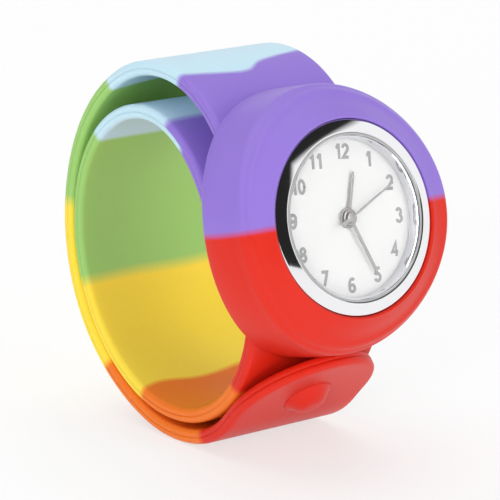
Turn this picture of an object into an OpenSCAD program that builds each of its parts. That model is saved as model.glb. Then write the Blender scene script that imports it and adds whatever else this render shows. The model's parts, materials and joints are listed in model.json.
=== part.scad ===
// Toy slap watch: a sprung silicone band that curls round the wrist, with a pop-out quartz watch head.
// Millimetres. X runs across the band, the dial faces -Y and leans back, Z is up.
// The lowest point of the band is at z = 0 and the box round the part is centred on x = 0 and y = 0.

/* [Band] */
// Width of the silicone band
band_w = 25; // [23:0.5:27]
// Thickness of the silicone band
band_t = 2.3; // [2.1:0.05:2.4]
// Radius of each round band end
tip_r = 12.7; // [12.6:0.1:13.4]
// Gap between neighbouring links of the band
link_gap = 0.1; // [0.06:0.02:0.2]
// Width of the steel slap spring inside the band
spring_w = 20; // [16:0.5:20.5]
// Thickness of the slap spring
spring_t = 0.25; // [0.15:0.05:0.3]
// Free space round the spring in its slot
spring_play = 0.1; // [0.06:0.02:0.14]
// How far the spring reaches into each end link
spring_reach = 4.5; // [3:0.5:5]
// Diameter of the finger nub near the outer end
nub_d = 6; // [5:0.25:6.5]
// Height of the finger nub
nub_h = 1.5; // [1:0.1:1.8]
// Distance from the outer end to the middle of the nub
nub_from_tip = 11.5; // [11:0.1:12]

/* [Holder] */
// Backward lean of the dial in degrees
head_tilt = 14.7; // [13:0.1:16]
// Width of the silicone ring outside the bezel
ring_wide = 5.8; // [5.4:0.1:6.4]
// Radius of the rounded front edge of the ring
ring_round = 4; // [3:0.25:4.5]
// Height of the ring crest above the bezel edge
ring_crest = 0.8; // [0.4:0.1:1.2]
// Depth from the bezel edge to the middle of the band behind the head
band_depth = 10.05; // [10:0.05:10.2]
// Depth from the bezel edge to the floor of the pocket
pocket_depth = 7; // [6.95:0.05:7.3]

/* [Watch case] */
// Outer radius of the bezel
bezel_r = 14.5; // [14.2:0.1:14.8]
// Height of the bezel cone
bezel_h = 1.1; // [0.9:0.1:1.4]
// Depth of the bezel flange
flange_t = 2.7; // [2.65:0.05:2.8]
// How far the bezel flange reaches past the case band below it
flange_over = 1.9; // [1.7:0.05:2.1]
// Wall of the case band
case_wall = 1; // [0.9:0.05:1.1]
// Width of the bezel cone outside the crystal
bezel_wide = 1.78; // [1.7:0.02:1.9]
// Depth from the bezel edge to the face of the dial
dial_depth = 1.65; // [1.5:0.05:1.65]
// Thickness of the dial
dial_t = 0.35; // [0.3:0.05:0.4]
// How far the polished dial ring slopes in from the crystal's edge
dial_slope = 1.42; // [1.2:0.02:1.6]
// Turn of the watch head in its holder in degrees, clockwise
head_turn = 5.6; // [0:0.2:8]

/* [Hands] */
// Length of the hour hand from its centre
hour_len = 6.9; // [6:0.1:7.5]
// Length of the minute hand from its centre
minute_len = 9.3; // [8.5:0.1:10]
// Length of the second hand from its centre
second_len = 9.5; // [8.5:0.1:10.2]
// Angle of the hour hand from 12, clockwise
hour_at = 12.7; // [0:0.1:360]
// Angle of the minute hand from 12, clockwise
minute_at = 152.4; // [0:0.1:360]
// Angle of the second hand from 12, clockwise
second_at = 59.4; // [0:0.1:360]

/* [Movement] */
// Radius of the movement
movement_r = 9.3; // [9.2:0.05:9.4]
// Tooth module of the train
tooth_m = 0.1; // [0.095:0.001:0.1]
// Radius of the button cell
cell_r = 2.9; // [2.6:0.1:2.95]
// Thickness of the button cell
cell_t = 2; // [1.6:0.1:2.05]
// Radius of the crown
crown_r = 1.35; // [1.1:0.05:1.4]
// Length of the crown
crown_len = 1.6; // [1.2:0.1:1.6]

/* [Hidden] */
$fn = 96;
small = 0.02;
fit = 0.1;
recess_r = bezel_r + fit;
ring_r = recess_r + ring_wide;
case_r = bezel_r - flange_over;
case_bore_r = case_r - case_wall;
crystal_r = bezel_r - bezel_wide;
dial_open_r = crystal_r - dial_slope;
// Length in mm and turn in degrees of each piece of the band from the middle of the head to the tip.
// The first two rows of each list stay with the holder, and a negative turn bends the other way.
// The band leaves the holder at its rim, and the outer arm comes round below the ring.
seat_len = 15.4;
rim_len = ring_r - 15.5;
drop_len = ring_r - 7.4;
outer_path = [
  [seat_len, 24],
  [rim_len, 14],
  [9, 27],
  [14, 40],
  [9, 19],
  [9, 19],
  [9, 16],
  [drop_len, 26],
  [drop_len, 28],
  [13, 23],
  [14, 33],
  [8, 32],
  [15.5, -14]
];
inner_path = [
  [seat_len, -24],
  [rim_len, -14],
  [5, -14],
  [14, -41],
  [15, -39],
  [10, -22],
  [10, -22],
  [13, -29],
  [13, -37],
  [10, -33],
  [10, -39],
  [8, -24],
  [16, -29]
];
purple = "#9B7FDB";
sky = "#B8E2F5";
green = "#93C666";
yellow = "#F5D94F";
orange = "#F0803C";
red = "#E8432F";
steel = "#C9CBCC";
brass = "#C9A552";
grey = "#9A9A9A";

// Place along the band, as distance in front of the head centre, height above it, and heading
function radius(row) = row[0] * 180 / (PI * row[1]);
function walk(p, row) = [
  p[0] + radius(row) * (sin(p[2] + row[1]) - sin(p[2])),
  p[1] - radius(row) * (cos(p[2] + row[1]) - cos(p[2])),
  p[2] + row[1]
];
function start_at(side) = [
  -band_depth * cos(head_tilt),
  -band_depth * sin(head_tilt),
  head_tilt + 90 * side
];
function place(path, side, k) = k == 0 ? start_at(side) : walk(place(path, side, k - 1), path[k - 1]);

// Outer face of the outer arm, sampled to find how far the part reaches down and back
outer_face = [
  for (k = [0 : len(outer_path) - 1])
    let (p = place(outer_path, 1, k))
      for (f = [0 : 0.05 : 1])
        let (q = walk(p, [outer_path[k][0] * (f + 0.0001), outer_path[k][1] * (f + 0.0001)]))
          [q[0] + band_t / 2 * sin(q[2]), q[1] - band_t / 2 * cos(q[2])]
];
tip = place(outer_path, 1, len(outer_path));
low = min([for (q = outer_face) q[1]]);
back = min([for (q = outer_face) q[0]]);
round_r = ring_r - ring_round;
ring_front = (ring_crest - ring_round) * cos(head_tilt) + round_r * sin(head_tilt) + ring_round;
front = max(ring_front, tip[0] + band_t / 2 * abs(sin(tip[2])));
centre_y = (front + back) / 2;
centre_z = -low;

seat_r = radius(outer_path[0]) + band_t / 2;
seat_cut_r = seat_r - 0.32;
seat_axis = band_depth + radius(outer_path[0]);
case_pocket_r = case_r + fit;
crystal_bore_r = crystal_r + 0.33;
step_bore_r = crystal_bore_r - 0.2;
dial_floor = dial_depth + dial_t + 0.05;
back_plane = 6.4;
back_t = 0.5;
ring_bore_r = movement_r + 0.1;
plate_top = 2.95;
plate_low = 3.6;
stem_level = 4.3;
stem_r = 0.45;
crown_in = case_r + 0.15;
hub_gap = 0.06;

// Wheel centres, seen from the dial side with 12 at +y
third_a = 34 * tooth_m;
third_c = [third_a * cos(200), third_a * sin(200)];
idle_a = 35 * tooth_m;
idle_c = [idle_a * cos(70), idle_a * sin(70)];
rotor_a = 24 * tooth_m;
rotor_c = idle_c + [rotor_a * cos(20), rotor_a * sin(20)];
motion_a = 24 * tooth_m;
motion_c = [motion_a * cos(210), motion_a * sin(210)];
pillars = [[-3.2, 3.2], [-6.9, -2], [4.6, 1.2]];
cell_c = [2.62, -5.62];

// Turns a drawing of the band seen from the side into the part's frame
module side_on() {
  translate([0, centre_y, centre_z])
    rotate([90, 0, -90])
      children();
}

// Frame of the head: z out of the dial, y towards 12 on the holder
module head() {
  translate([0, centre_y, centre_z])
    rotate([90 - head_tilt, 0, 0])
      children();
}

// Frame of the watch head, turned a little in its holder
module watch() {
  head()
    rotate([0, 0, -head_turn])
      children();
}

// Cylinder between two depths below the bezel edge
module disc(r, top, bottom) {
  translate([0, 0, -bottom])
    cylinder(h = bottom - top, r = r);
}

// Ring between two depths below the bezel edge
module band_ring(outer, inner, top, bottom) {
  difference() {
    disc(outer, top, bottom);
    disc(inner, top - 1, bottom + 1);
  }
}

// One bent piece of the band's path, with a flat profile swept from one length to another
module bend(p, row, from, to) {
  r = abs(radius(row));
  turn = abs(row[1]);
  side = sign(row[1]);
  a = turn * from / row[0];
  b = turn * to / row[0];
  first = side > 0 ? p[2] - 90 + a : p[2] + 90 - b;
  translate([p[0] - side * r * sin(p[2]), p[1] + side * r * cos(p[2]), 0])
    rotate([0, 0, first])
      rotate_extrude(angle = b - a)
        translate([r, 0])
          children();
}

module band_profile() {
  square([band_t, band_w - band_t], center = true);
  translate([0, band_w / 2 - band_t / 2])
    circle(d = band_t, $fn = 32);
  translate([0, band_t / 2 - band_w / 2])
    circle(d = band_t, $fn = 32);
}

module slot_profile() {
  square([spring_t + 2 * spring_play, spring_w + 4 * spring_play], center = true);
}

module spring_profile() {
  square([spring_t, spring_w], center = true);
}

// One link of the band, with the slot for the spring
module link(path, side, k) {
  p = place(path, side, k);
  row = path[k];
  difference() {
    bend(p, row, link_gap / 2, row[0] - link_gap / 2)
      band_profile();
    bend(p, row, -0.2, row[0] + 0.2)
      slot_profile();
  }
}

// Last link of an arm, with a round, closed end
module end_link(path, side, k) {
  p = place(path, side, k);
  row = path[k];
  chord = 2 * abs(radius(row)) * sin(abs(row[1]) / 2);
  difference() {
    intersection() {
      bend(p, row, link_gap / 2, row[0])
        band_profile();
      translate([p[0], p[1], 0])
        rotate([0, 0, p[2] + row[1] / 2])
          rotate([90, 0, 0])
            linear_extrude(height = 20, center = true)
              tip_outline(chord);
    }
    bend(p, row, -0.2, spring_reach + 0.3)
      slot_profile();
  }
}

module tip_outline(reach) {
  translate([-3, -band_w / 2 - 1])
    square([reach - tip_r + 3, band_w + 2]);
  translate([reach - tip_r, 0])
    circle(r = tip_r);
}

// Low dome on the outer face of the last link
module nub(path, side, k) {
  share = 1 - nub_from_tip / path[k][0];
  p = walk(place(path, side, k), [path[k][0] * share, path[k][1] * share]);
  dome_r = (nub_d * nub_d / 4 + nub_h * nub_h) / (2 * nub_h);
  rise = band_t / 2 + nub_h - dome_r;
  translate([p[0], p[1], 0])
    rotate([0, 0, p[2] - 90])
      rotate([0, 90, 0])
        intersection() {
          translate([0, 0, rise])
            sphere(r = dome_r);
          translate([-nub_d, -nub_d, band_t / 2 - 0.5])
            cube([2 * nub_d, 2 * nub_d, 10]);
        }
}

module outer_1() { color(purple) side_on() link(outer_path, 1, 2); }
module outer_2() { color(sky) side_on() link(outer_path, 1, 3); }
module outer_3() { color(green) side_on() link(outer_path, 1, 4); }
module outer_4() { color(green) side_on() link(outer_path, 1, 5); }
module outer_5() { color(green) side_on() link(outer_path, 1, 6); }
module outer_6() { color(yellow) side_on() link(outer_path, 1, 7); }
module outer_7() { color(yellow) side_on() link(outer_path, 1, 8); }
module outer_8() { color(orange) side_on() link(outer_path, 1, 9); }
module outer_9() { color(orange) side_on() link(outer_path, 1, 10); }
module outer_10() { color(red) side_on() link(outer_path, 1, 11); }
module outer_11() {
  color(red)
    side_on() {
      end_link(outer_path, 1, 12);
      nub(outer_path, 1, 12);
    }
}
module inner_1() { color(red) side_on() link(inner_path, -1, 2); }
module inner_2() { color(orange) side_on() link(inner_path, -1, 3); }
module inner_3() { color(orange) side_on() link(inner_path, -1, 4); }
module inner_4() { color(yellow) side_on() link(inner_path, -1, 5); }
module inner_5() { color(yellow) side_on() link(inner_path, -1, 6); }
module inner_6() { color(green) side_on() link(inner_path, -1, 7); }
module inner_7() { color(green) side_on() link(inner_path, -1, 8); }
module inner_8() { color(sky) side_on() link(inner_path, -1, 9); }
module inner_9() { color(sky) side_on() link(inner_path, -1, 10); }
module inner_10() { color(purple) side_on() link(inner_path, -1, 11); }
module inner_11() { color(purple) side_on() end_link(inner_path, -1, 12); }

// Points along one face of the spring, from the middle of the head to the tip
function face_points(path, side, shift) = [
  for (k = [0 : len(path) - 1])
    let (p = place(path, side, k), reach = k < len(path) - 1 ? 1 : spring_reach / path[k][0])
      for (f = [0 : 0.125 : 0.99])
        let (q = walk(p, [path[k][0] * (f + 0.001) * reach, path[k][1] * (f + 0.001) * reach]))
          [q[0] - shift * sin(q[2]), q[1] + shift * cos(q[2])]
];
function backwards(points) = [for (i = [len(points) - 1 : -1 : 0]) points[i]];

// One strip of sprung steel through the whole band
module slap_spring() {
  half = spring_t / 2;
  color(steel)
    side_on()
      linear_extrude(height = spring_w, center = true)
        polygon(concat(
          backwards(face_points(outer_path, 1, half)),
          face_points(inner_path, -1, -half),
          backwards(face_points(inner_path, -1, half)),
          face_points(outer_path, 1, -half)
        ));
}

// Half outline of the silicone ring and its base, turned round the dial's axis
module holder_outline() {
  translate([recess_r + 0.7, -12])
    square([round_r - recess_r - 0.7, 12 + ring_crest]);
  translate([recess_r, -12])
    square([1, 12 + ring_crest - 0.7]);
  translate([recess_r + 0.7, ring_crest - 0.7])
    circle(r = 0.7, $fn = 32);
  intersection() {
    translate([round_r, ring_crest - ring_round])
      circle(r = ring_round);
    translate([round_r - small, -20])
      square([30, 40]);
  }
  polygon([
    [0, -16],
    [ring_r - 1.2, -16],
    [ring_r, -10],
    [ring_r, ring_crest - ring_round],
    [recess_r, ring_crest - ring_round],
    [recess_r, -flange_t - small],
    [case_pocket_r, -flange_t - small],
    [case_pocket_r, -pocket_depth],
    [0, -pocket_depth]
  ]);
}

// The upper half of the holder with its part of the band, in the frame of the head
module holder_half() {
  difference() {
    intersection() {
      rotate_extrude()
        holder_outline();
      translate([-30, 0, -30])
        cube([60, 60, 60]);
    }
    translate([0, 0, -seat_axis])
      rotate([0, 90, 0])
        cylinder(h = 80, r = seat_cut_r, center = true);
  }
  rotate([0, -90, 0])
    rotate([0, 0, -head_tilt])
      for (k = [0 : 1])
        difference() {
          bend(place(outer_path, 1, k), outer_path[k], 0, outer_path[k][0] - k * link_gap / 2)
            band_profile();
          bend(place(outer_path, 1, k), outer_path[k], -0.2, outer_path[k][0] + 0.2)
            slot_profile();
        }
}

// Room for the crown beside the pocket
module crown_notch() {
  rotate([0, 0, -head_turn])
    translate([case_r - 1, -crown_r - 0.3, -pocket_depth + 0.6])
      cube([3.6, 2 * crown_r + 0.6, pocket_depth - flange_t - 0.6]);
}

module holder_upper() {
  color(purple)
    head()
      difference() {
        holder_half();
        crown_notch();
      }
}

module holder_lower() {
  color(red)
    head()
      difference() {
        mirror([0, 1, 0])
          holder_half();
        crown_notch();
      }
}

module watch_case() {
  color("#D9DBDC")
    watch()
      difference() {
        rotate_extrude()
          polygon([
            [bezel_r, -flange_t],
            [bezel_r, 0],
            [crystal_bore_r + 0.1, bezel_h],
            [crystal_bore_r, bezel_h],
            [crystal_bore_r, -0.1],
            [step_bore_r, -0.1],
            [step_bore_r, -dial_floor],
            [case_bore_r, -dial_floor],
            [case_bore_r, 0.4 - back_plane],
            [case_bore_r + 0.5, 0.4 - back_plane],
            [case_bore_r + 0.5, -back_plane],
            [case_r, -back_plane],
            [case_r, -flange_t]
          ]);
        translate([case_bore_r - 1, 0, -stem_level])
          rotate([0, 90, 0])
            cylinder(h = 3, r = stem_r + 0.08);
      }
}

module crystal() {
  color("#DFF0F4", 0.35)
    watch()
      rotate_extrude()
        polygon([
          [0, -0.08],
          [crystal_r, -0.08],
          [crystal_r, bezel_h - 0.25],
          [crystal_r - 0.2, bezel_h - 0.05],
          [0, bezel_h - 0.05]
        ]);
}

module crystal_gasket() {
  color("#8F9294")
    watch()
      band_ring(crystal_bore_r - small, crystal_r + small, 0.2 - bezel_h, 0.08);
}

module dial_ring() {
  color("#E4E6E7")
    watch()
      rotate_extrude()
        polygon([
          [step_bore_r - 0.05, -0.12],
          [step_bore_r - 0.05, -dial_depth],
          [dial_open_r, -dial_depth],
          [step_bore_r - 0.2, -0.12]
        ]);
}

module dial() {
  color("#F7F7F5")
    watch()
      band_ring(step_bore_r - 0.1, 0.9, dial_depth, dial_depth + dial_t);
}

module case_back() {
  color(steel)
    watch() {
      disc(case_r, back_plane, back_plane + back_t);
      band_ring(case_bore_r - 0.05, case_bore_r - 0.7, back_plane - 0.7, back_plane + 0.1);
    }
}

module back_gasket() {
  color("#2A2A2C")
    watch()
      band_ring(case_bore_r + 0.47, case_bore_r + 0.02, back_plane - 0.37, back_plane - 0.03);
}

module movement_ring() {
  color("#EDEBE4")
    watch()
      difference() {
        band_ring(case_bore_r - 0.1, ring_bore_r, dial_floor + 0.05, back_plane - 0.75);
        translate([ring_bore_r - 0.5, 0, -stem_level])
          rotate([0, 90, 0])
            cylinder(h = 4, r = stem_r + 0.15);
      }
}

module main_plate() {
  color(brass)
    watch()
      difference() {
        disc(movement_r, plate_top, plate_low);
        disc(0.48 + hub_gap, 1, 6);
        translate(third_c) disc(0.2 + hub_gap, 1, 6);
        translate(idle_c) disc(0.2 + hub_gap, 1, 6);
        translate(rotor_c) disc(0.15 + hub_gap, 1, 6);
        translate(motion_c) disc(0.2 + hub_gap, 1, 6);
      }
}

module strap(a, b, w) {
  d = b - a;
  translate(a) {
    circle(d = w, $fn = 32);
    rotate([0, 0, atan2(d[1], d[0])])
      translate([0, -w / 2])
        square([norm(d), w]);
  }
  translate(b)
    circle(d = w, $fn = 32);
}

module train_bridge() {
  color("#D8C48A")
    watch()
      difference() {
        union() {
          translate([0, 0, -5.65])
            linear_extrude(height = 0.3) {
              strap(pillars[1], third_c, 1.8);
              strap(third_c, [0, 0], 1.8);
              strap([0, 0], pillars[2], 1.8);
              strap(pillars[2], rotor_c, 1.6);
              strap(rotor_c, idle_c, 1.6);
              strap(idle_c, pillars[0], 1.6);
            }
          for (p = pillars)
            translate(p)
              disc(0.5, plate_low, 5.5);
        }
        disc(0.22 + hub_gap, 1, 7);
        translate(third_c) disc(0.2 + hub_gap, 1, 7);
        translate(idle_c) disc(0.2 + hub_gap, 1, 7);
        translate(rotor_c) disc(0.15 + hub_gap, 1, 7);
        for (p = pillars)
          translate(p)
            disc(0.3, 4.2, 7);
      }
}

module bridge_screws() {
  color("#B9BCBE")
    watch()
      for (p = pillars)
        translate(p)
          difference() {
            union() {
              disc(0.25, 4.4, 5.8);
              disc(0.65, 5.67, 6);
            }
            translate([-1, -0.08, -6.1])
              cube([2, 0.16, 0.25]);
          }
}

module stator() {
  color("#A7A9AC")
    watch()
      translate([0, 0, -4.6])
        linear_extrude(height = 0.3)
          difference() {
            polygon([[2.3, 2.7], [4.9, 2.7], [5.4, 5.2], [4.8, 6.6], [4.3, 6.6], [3.3, 5.6], [2.3, 5.4]]);
            translate(rotor_c)
              circle(r = 0.95);
          }
}

module coil() {
  color("#B4673A")
    watch()
      translate([0, 6.6, -4.45])
        rotate([0, 90, 0]) {
          translate([0, 0, -4.4])
            cylinder(h = 7.4, r = 0.8);
          translate([0, 0, -4.9])
            cylinder(h = 8.5, r = 0.3);
        }
}

module circuit_board() {
  color("#2F6B4A")
    watch()
      translate([0, 0, -5.1])
        linear_extrude(height = 0.22)
          polygon([[-7.6, 2.3], [-4.2, 2.3], [-4.2, 4.9], [-6.6, 5.6], [-7.6, 4.6]]);
}

module quartz_can() {
  color("#D2D4D5")
    watch()
      translate([-7.4, 3.4, -4.25])
        rotate([0, 90, 0])
          cylinder(h = 3, r = 0.6);
}

module button_cell() {
  color("#C4C6C8")
    watch()
      translate(cell_c) {
        disc(cell_r, 3.95, 3.65 + cell_t);
        disc(cell_r - 0.5, 3.65, 4.1);
      }
}

module cell_clip() {
  color("#CFC9B6")
    watch()
      translate([0, 0, -5.9])
        linear_extrude(height = 0.15)
          strap([0.8, -7.6], [3.6, -3.4], 1.4);
}

// Plain toothed wheel, with straight-sided teeth
function tooth_at(z, i, f, r) = [r * cos(360 * (i + f) / z), r * sin(360 * (i + f) / z)];
module gear(z, m, top, bottom) {
  root = m * (z / 2 - 1.15);
  peak = m * (z / 2 + 0.85);
  translate([0, 0, -bottom])
    linear_extrude(height = bottom - top)
      polygon([
        for (i = [0 : z - 1])
          for (q = [[-0.3, root], [-0.12, peak], [0.12, peak], [0.3, root]])
            tooth_at(z, i, q[0], q[1])
      ]);
}

module second_wheel() {
  color(brass)
    watch() {
      disc(0.22, 0.35, 5.6);
      gear(8, tooth_m, 4.35, 4.65);
      gear(60, tooth_m, 4.82, 4.97);
    }
}

module third_wheel() {
  color(brass)
    watch()
      translate(third_c)
        rotate([0, 0, 3]) {
          disc(0.2, 3.05, 5.6);
          gear(8, third_a / 36, 3.8, 4.1);
          gear(60, tooth_m, 4.42, 4.58);
        }
}

module centre_wheel() {
  color(brass)
    watch()
      difference() {
        union() {
          disc(0.48, 0.75, 4.1);
          gear(64, third_a / 36, 3.86, 4.04);
          gear(12, tooth_m, 2.5, 2.8);
        }
        disc(0.22 + hub_gap, -1, 7);
      }
}

module minute_wheel() {
  color(brass)
    watch()
      translate(motion_c)
        rotate([0, 0, 5]) {
          disc(0.2, 2.3, 3.5);
          gear(36, tooth_m, 2.56, 2.74);
          gear(10, motion_a / 25, 2.12, 2.45);
        }
}

module hour_wheel() {
  color(brass)
    watch()
      difference() {
        union() {
          disc(0.78, 1.15, 2.4);
          gear(40, motion_a / 25, 2.16, 2.36);
        }
        disc(0.48 + hub_gap, -1, 7);
      }
}

module intermediate_wheel() {
  color("#E8E4D6")
    watch()
      translate(idle_c) {
        disc(0.2, 3.05, 5.6);
        gear(10, tooth_m, 4.75, 5.02);
        gear(40, tooth_m, 5.08, 5.24);
      }
}

module rotor() {
  color("#6E7073")
    watch()
      translate(rotor_c) {
        disc(0.15, 3.05, 5.6);
        disc(0.7, 4.05, 4.75);
        gear(8, tooth_m, 5.02, 5.3);
      }
}

// Tapered hand pointing to 12, with a round hub
module hand(reach, wide, narrow, tail, hub, hole, top, thick) {
  translate([0, 0, -top - thick])
    linear_extrude(height = thick)
      difference() {
        union() {
          circle(r = hub, $fn = 48);
          polygon([[-wide / 2, -tail], [wide / 2, -tail], [narrow / 2, reach], [-narrow / 2, reach]]);
        }
        circle(r = hole, $fn = 48);
      }
}

module hour_hand() {
  color(grey)
    watch()
      rotate([0, 0, -hour_at])
        hand(hour_len, 1.1, 0.9, 0, 1.4, 0.79, 1.17, 0.18);
}

module minute_hand() {
  color(grey)
    watch()
      rotate([0, 0, -minute_at])
        hand(minute_len, 0.9, 0.7, 0, 1.2, 0.49, 0.78, 0.18);
}

module second_hand() {
  color(grey)
    watch()
      rotate([0, 0, -second_at])
        hand(second_len, 0.34, 0.26, 2.1, 0.8, 0.23, 0.38, 0.14);
}

module stem() {
  color(steel)
    watch()
      translate([0, 0, -stem_level])
        rotate([0, 90, 0])
          rotate_extrude()
            polygon([
              [0, 6],
              [stem_r, 6],
              [stem_r, 7.4],
              [0.3, 7.4],
              [0.3, 7.8],
              [stem_r, 7.8],
              [stem_r, crown_in + 0.9],
              [0, crown_in + 0.9]
            ]);
}

module crown() {
  color("#D4D6D8")
    watch()
      translate([crown_in, 0, -stem_level])
        rotate([0, 90, 0])
          difference() {
            cylinder(h = crown_len, r = crown_r);
            for (i = [0 : 19])
              rotate([0, 0, 18 * i])
                translate([crown_r + 0.03, 0, -1])
                  cylinder(h = 4, r = 0.13, $fn = 16);
            translate([0, 0, -1])
              cylinder(h = 1.95, r = stem_r + small);
          }
}

module setting_lever() {
  color("#B9BCBE")
    watch()
      difference() {
        translate([7.45, -1, -5.1])
          cube([0.3, 2, 1.45]);
        translate([7, -0.36, -6])
          cube([2, 0.72, 6 - stem_level]);
        translate([7, 0, -stem_level])
          rotate([0, 90, 0])
            cylinder(h = 2, r = 0.36);
      }
}

holder_upper();
holder_lower();
slap_spring();
outer_1();
outer_2();
outer_3();
outer_4();
outer_5();
outer_6();
outer_7();
outer_8();
outer_9();
outer_10();
outer_11();
inner_1();
inner_2();
inner_3();
inner_4();
inner_5();
inner_6();
inner_7();
inner_8();
inner_9();
inner_10();
inner_11();
watch_case();
crystal();
crystal_gasket();
dial_ring();
dial();
case_back();
back_gasket();
movement_ring();
main_plate();
train_bridge();
bridge_screws();
stator();
coil();
circuit_board();
quartz_can();
button_cell();
cell_clip();
second_wheel();
third_wheel();
centre_wheel();
minute_wheel();
hour_wheel();
intermediate_wheel();
rotor();
hour_hand();
minute_hand();
second_hand();
stem();
crown();
setting_lever();
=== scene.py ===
"""Looks of a toy slap watch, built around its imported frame. Metres, +Z up, the watch faces -Y."""
import bisect
import json
import math
from itertools import accumulate

import bmesh
import bpy
from mathutils import Matrix, Vector


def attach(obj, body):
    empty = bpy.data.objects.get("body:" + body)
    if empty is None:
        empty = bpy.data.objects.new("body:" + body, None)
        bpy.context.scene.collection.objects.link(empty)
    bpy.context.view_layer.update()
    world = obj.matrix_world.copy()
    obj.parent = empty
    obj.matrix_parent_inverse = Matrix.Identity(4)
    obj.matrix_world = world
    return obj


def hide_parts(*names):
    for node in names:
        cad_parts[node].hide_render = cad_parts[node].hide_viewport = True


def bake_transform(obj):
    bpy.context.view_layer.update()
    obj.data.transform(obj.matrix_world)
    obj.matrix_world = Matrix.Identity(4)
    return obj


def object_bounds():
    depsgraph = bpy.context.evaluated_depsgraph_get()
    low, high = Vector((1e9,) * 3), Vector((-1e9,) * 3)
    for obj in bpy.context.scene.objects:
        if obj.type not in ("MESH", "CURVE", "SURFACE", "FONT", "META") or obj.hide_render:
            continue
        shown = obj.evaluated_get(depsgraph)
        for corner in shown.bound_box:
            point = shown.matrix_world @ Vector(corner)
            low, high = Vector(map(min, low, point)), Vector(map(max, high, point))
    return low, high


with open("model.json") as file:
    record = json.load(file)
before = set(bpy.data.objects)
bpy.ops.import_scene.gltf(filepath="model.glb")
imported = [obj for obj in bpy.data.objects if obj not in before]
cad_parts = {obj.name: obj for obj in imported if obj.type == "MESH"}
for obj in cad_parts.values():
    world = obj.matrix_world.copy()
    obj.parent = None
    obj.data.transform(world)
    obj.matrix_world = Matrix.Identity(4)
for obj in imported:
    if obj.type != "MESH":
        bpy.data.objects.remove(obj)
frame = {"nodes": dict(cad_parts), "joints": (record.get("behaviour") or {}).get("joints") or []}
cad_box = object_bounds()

# Sizes and places are in mm and turns in degrees, unless a comment says otherwise.
MM = 0.001

# The watch head's own axes: across the dial, up the dial and out of it.
# HEAD is the middle of the bezel's edge, in front of the place that the hands' joint gives.
SHAFT_TO_BEZEL = 3
hand_shaft = next(joint for joint in frame["joints"] if joint["name"] == "second_spin")
OUT = Vector(hand_shaft["axis"]).normalized()
OUT *= -1 if OUT.y > 0 else 1
ACROSS = Vector((1, 0, 0))
UP = OUT.cross(ACROSS)
HEAD = Vector(hand_shaft["pos_m"]) + OUT * SHAFT_TO_BEZEL * MM
LEAN = math.degrees(math.asin(OUT.z))
# How far the dial is turned clockwise in its holder.
DIAL_TURN = 5.6

# The band's middle layer from the middle of the head, in stretches of even curve: length and turn.
OUTER_ROWS = [(15.4, 24), (4.9, 14), (9, 27), (14, 40), (9, 19), (9, 19), (9, 16), (13, 26), (13, 28),
              (13, 23), (14, 33.4), (8.6, 33), (15.2, -9)]
INNER_ROWS = [(15.4, -24), (4.9, -14), (5, -14), (14, -41), (15, -39), (10, -22), (10, -22), (13, -29),
              (13, -37), (10, -33), (10, -39), (8, -24), (16, -29)]
# How far the middle layer lies behind the bezel's edge.
BAND_DEPTH = 10.05
BAND_WIDE = 25.0
BAND_THICK = 2.3
# The band is one with the holder up to here, on both sides of the middle.
SEAT_END = 15.8
# Each tip is half an ellipse, its length this share of half the band's width.
END_ROUND = 0.94
END_REACH = END_ROUND * BAND_WIDE / 2


def smooth_step(t):
    """Eases a share from 0 to 1."""
    return t * t * (3 - 2 * t)


# Colours and materials

def linear(code):
    """A colour written as sRGB hex, as linear RGBA."""
    parts = [int(code[i:i + 2], 16) / 255 for i in (1, 3, 5)]
    return tuple(c / 12.92 if c <= 0.04045 else ((c + 0.055) / 1.055) ** 2.4 for c in parts) + (1.0,)


def add(tree, kind, values=None, links=None, **settings):
    """Adds a node with its settings, socket values and incoming links."""
    made = tree.nodes.new(kind)
    for key, value in settings.items():
        setattr(made, key, value)
    for key, value in (values or {}).items():
        made.inputs[key].default_value = value
    for key, source in (links or {}).items():
        tree.links.new(source, made.inputs[key])
    return made


# How far the sheen strays from a material's roughness, as a share, and how deep its fine relief is.
SHEEN_SPREAD = 0.15
RELIEF_DEEP = 0.02


def material(name, colour, rough, metal=0.0, grain_mm=0.5, tone=0.04, bump=0.0, extra=None):
    """A surface with a fine uneven tone and sheen and, where asked, a fine relief, at a real scale."""
    made = bpy.data.materials.new(name)
    made.use_nodes = True
    tree = made.node_tree
    tree.nodes.clear()
    place = add(tree, "ShaderNodeTexCoord")
    grain = add(tree, "ShaderNodeTexNoise", {"Scale": 1 / (grain_mm * MM), "Detail": 3.0},
                {"Vector": place.outputs["Object"]})
    if isinstance(colour, str):
        base = add(tree, "ShaderNodeRGB").outputs[0]
        base.default_value = linear(colour)
    else:
        base = colour(tree)
    value = add(tree, "ShaderNodeMapRange", {"To Min": 1 - tone, "To Max": 1 + tone},
                {"Value": grain.outputs["Fac"]})
    toned = add(tree, "ShaderNodeHueSaturation", None, {"Color": base, "Value": value.outputs["Result"]})
    sheen = add(tree, "ShaderNodeMapRange",
                {"To Min": rough * (1 - SHEEN_SPREAD), "To Max": min(1.0, rough * (1 + SHEEN_SPREAD))},
                {"Value": grain.outputs["Fac"]})
    shader = add(tree, "ShaderNodeBsdfPrincipled", {"Metallic": metal},
                 {"Base Color": toned.outputs["Color"], "Roughness": sheen.outputs["Result"]})
    for key, number in (extra or {}).items():
        shader.inputs[key].default_value = number
    if bump:
        relief = add(tree, "ShaderNodeBump", {"Strength": bump, "Distance": RELIEF_DEEP * MM},
                     {"Height": grain.outputs["Fac"]})
        tree.links.new(relief.outputs["Normal"], shader.inputs["Normal"])
    add(tree, "ShaderNodeOutputMaterial", None, {"Surface": shader.outputs["BSDF"]})
    return made


PURPLE = "#9377d3"
SKY = "#c2e1ef"
GREEN = "#9aca6e"
YELLOW = "#fadd44"
ORANGE = "#f07a24"
RED = "#da2816"
STRIPES = [PURPLE, SKY, GREEN, YELLOW, ORANGE, RED] * 2
# How far the colours mix at a border, as a share of a stripe.
STRIPE_BLUR = 0.009


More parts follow.
